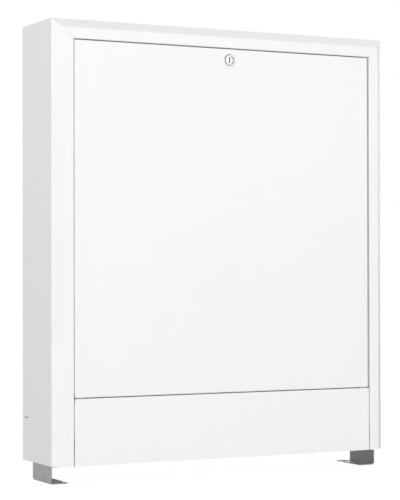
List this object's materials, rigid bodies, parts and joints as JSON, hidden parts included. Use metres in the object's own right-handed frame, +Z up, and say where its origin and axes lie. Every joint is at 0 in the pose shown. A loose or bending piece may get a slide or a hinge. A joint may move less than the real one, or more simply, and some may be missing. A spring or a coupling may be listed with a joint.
{
  "type": "underfloor heating manifold cabinet",
  "caption": "Surface-mounted steel cabinet on two height-adjustable feet, with a tilting, lockable door and a floor heating manifold station on rails inside.",
  "frame": {"origin": "on the floor, under the middle of the whole object's box", "axes": "+X to the right seen from the front, +Y to the rear, +Z up"},
  "size_m": [0.54, 0.126, 0.647],
  "materials": {
    "cabinet_white": "white powder coat, fine orange peel",
    "galvanised_steel": "hot-dip galvanised sheet, fine spangle",
    "zinc_plated_steel": "bright zinc plate",
    "lock_chrome": "polished chrome plate",
    "nickel_brass": "satin nickel plate over forged brass",
    "ball_chrome": "hard chrome plate over brass",
    "clear_plastic": "clear moulded polyamide",
    "white_plastic": "moulded, fine texture",
    "black_plastic": "moulded, fine texture",
    "red_plastic": "moulded, fine texture",
    "blue_plastic": "moulded, fine texture",
    "seat_plastic": "fluoropolymer",
    "black_rubber": "matt"
  },
  "bodies": {
    "cabinet": {"left_side_panel": "cabinet_white", "right_side_panel": "cabinet_white", "top_panel": "cabinet_white", "front_cross_rail": "cabinet_white", "lower_front_panel": "cabinet_white", "back_panel": "galvanised_steel", "upper_mounting_rail": "galvanised_steel", "lower_mounting_rail": "galvanised_steel", "left_foot_guide": "galvanised_steel", "right_foot_guide": "galvanised_steel", "left_bracket": "galvanised_steel", "right_bracket": "galvanised_steel", "bracket_clamps": "galvanised_steel", "rail_rivets": "zinc_plated_steel", "foot_clamp_studs": "zinc_plated_steel", "foot_wing_nuts": "zinc_plated_steel", "lower_panel_screws": "zinc_plated_steel", "clamp_screws": "zinc_plated_steel", "rail_slide_nuts": "zinc_plated_steel", "bracket_bolts": "zinc_plated_steel", "supply_bar": "nickel_brass", "return_bar": "nickel_brass", "supply_outlets": "nickel_brass", "return_outlets": "nickel_brass", "flow_meter_bases": "nickel_brass", "valve_inserts": "nickel_brass", "supply_valve_body": "nickel_brass", "return_valve_body": "nickel_brass", "union_nuts": "nickel_brass", "supply_end_piece": "nickel_brass", "return_end_piece": "nickel_brass", "ball_seats": "seat_plastic", "bar_cushions": "black_rubber", "union_seals": "black_rubber", "door_buffers": "black_rubber"},
    "door": {"door_panel": "cabinet_white", "door_stiffener": "galvanised_steel", "door_tongues": "galvanised_steel", "lock_housing": "lock_chrome", "lock_nut": "zinc_plated_steel"},
    "lock_core": {"lock_barrel": "lock_chrome", "lock_cam": "zinc_plated_steel", "cam_screw": "zinc_plated_steel"},
    "left_foot_leg": {"left_foot": "galvanised_steel"},
    "right_foot_leg": {"right_foot": "galvanised_steel"},
    "supply_valve_stem": {"supply_valve_ball": "ball_chrome", "supply_valve_handle": "red_plastic"},
    "return_valve_stem": {"return_valve_ball": "ball_chrome", "return_valve_handle": "blue_plastic"},
    "valve_cap_1_body": {"valve_cap_1": "white_plastic"},
    "valve_cap_2_body": {"valve_cap_2": "white_plastic"},
    "valve_cap_3_body": {"valve_cap_3": "white_plastic"},
    "flow_meter_1_body": {"flow_meter_1": "clear_plastic"},
    "flow_meter_2_body": {"flow_meter_2": "clear_plastic"},
    "flow_meter_3_body": {"flow_meter_3": "clear_plastic"},
    "supply_air_vent_body": {"supply_air_vent": "nickel_brass"},
    "supply_drain_cap_body": {"supply_drain_cap": "black_plastic"},
    "return_air_vent_body": {"return_air_vent": "nickel_brass"},
    "return_drain_cap_body": {"return_drain_cap": "black_plastic"}
  },
  "joints": [
    {"name": "door_tilt", "type": "hinge", "parent": "cabinet", "child": "door", "pos_m": [0, -0.0606, 0.1206], "axis": [1, 0, 0], "range_deg": [0, 75]},
    {"name": "lock_turn", "type": "hinge", "parent": "door", "child": "lock_core", "pos_m": [0.0025, -0.061, 0.601], "axis": [0, 1, 0], "range_deg": [0, 90]},
    {"name": "left_foot_slide", "type": "slide", "parent": "cabinet", "child": "left_foot_leg", "axis": [0, 0, 1], "range_m": [-0.064, 0.024]},
    {"name": "right_foot_slide", "type": "slide", "parent": "cabinet", "child": "right_foot_leg", "axis": [0, 0, 1], "range_m": [-0.064, 0.024]},
    {"name": "supply_valve_turn", "type": "hinge", "parent": "cabinet", "child": "supply_valve_stem", "pos_m": [-0.116, 0.026, 0.496], "axis": [0, 1, 0], "range_deg": [0, 90]},
    {"name": "return_valve_turn", "type": "hinge", "parent": "cabinet", "child": "return_valve_stem", "pos_m": [-0.116, -0.008, 0.288], "axis": [0, 1, 0], "range_deg": [0, 90]},
    {"name": "valve_cap_1_turn", "type": "hinge", "parent": "cabinet", "child": "valve_cap_1_body", "pos_m": [-0.032, -0.008, 0.328], "axis": [0, 0, 1], "continuous": true},
    {"name": "valve_cap_2_turn", "type": "hinge", "parent": "cabinet", "child": "valve_cap_2_body", "pos_m": [0.018, -0.008, 0.328], "axis": [0, 0, 1], "continuous": true},
    {"name": "valve_cap_3_turn", "type": "hinge", "parent": "cabinet", "child": "valve_cap_3_body", "pos_m": [0.068, -0.008, 0.328], "axis": [0, 0, 1], "continuous": true},
    {"name": "flow_meter_1_turn", "type": "hinge", "parent": "cabinet", "child": "flow_meter_1_body", "pos_m": [-0.032, 0.026, 0.536], "axis": [0, 0, 1], "range_deg": [0, 180]},
    {"name": "flow_meter_2_turn", "type": "hinge", "parent": "cabinet", "child": "flow_meter_2_body", "pos_m": [0.018, 0.026, 0.536], "axis": [0, 0, 1], "range_deg": [0, 180]},
    {"name": "flow_meter_3_turn", "type": "hinge", "parent": "cabinet", "child": "flow_meter_3_body", "pos_m": [0.068, 0.026, 0.536], "axis": [0, 0, 1], "range_deg": [0, 180]},
    {"name": "supply_air_vent_turn", "type": "hinge", "parent": "cabinet", "child": "supply_air_vent_body", "pos_m": [0.134, 0.026, 0.516], "axis": [0, 0, 1], "continuous": true},
    {"name": "supply_drain_cap_turn", "type": "hinge", "parent": "cabinet", "child": "supply_drain_cap_body", "pos_m": [0.134, 0.026, 0.466], "axis": [0, 0, 1], "continuous": true},
    {"name": "return_air_vent_turn", "type": "hinge", "parent": "cabinet", "child": "return_air_vent_body", "pos_m": [0.134, -0.008, 0.308], "axis": [0, 0, 1], "continuous": true},
    {"name": "return_drain_cap_turn", "type": "hinge", "parent": "cabinet", "child": "return_drain_cap_body", "pos_m": [0.134, -0.008, 0.258], "axis": [0, 0, 1], "continuous": true}
  ]
}
